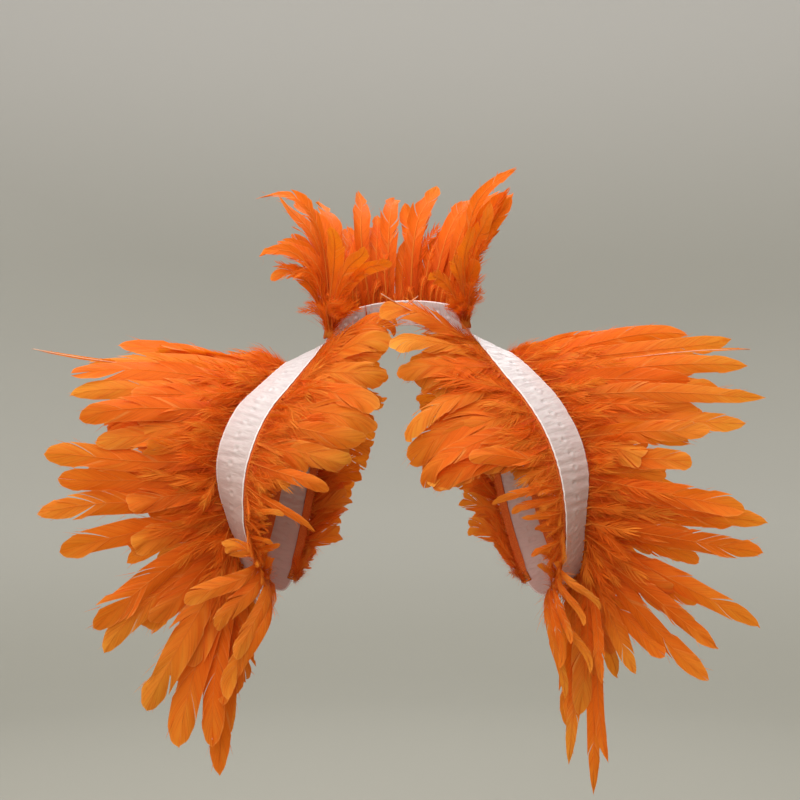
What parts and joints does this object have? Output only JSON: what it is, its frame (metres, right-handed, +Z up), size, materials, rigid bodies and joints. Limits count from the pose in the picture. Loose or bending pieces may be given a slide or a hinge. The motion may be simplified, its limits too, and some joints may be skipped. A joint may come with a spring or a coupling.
{
  "type": "feather shoulder cape",
  "caption": "Open-fronted shoulder cape of long feathers on two ribbon arm bands, with a stand-up feather collar.",
  "frame": {"origin": "between the shoulders, level with the sides of the neck, where the wearer carries the cape", "axes": "+X to the right as seen from the front, the front faces -Y, +Z up"},
  "size_m": [0.65, 0.2537, 0.5699],
  "materials": {
    "satin": "satin ribbon, pale pink-white",
    "feather": "dyed orange feathers, matt with a soft sheen"
  },
  "bodies": {
    "root": {"arm_band_left": "satin", "arm_band_right": "satin", "collar_band": "satin", "outer_feathers_left": "feather", "outer_feathers_right": "feather", "chest_feathers_left": "feather", "chest_feathers_right": "feather", "back_feathers_left": "feather", "back_feathers_right": "feather", "collar_feathers": "feather"}
  },
  "joints": []
}
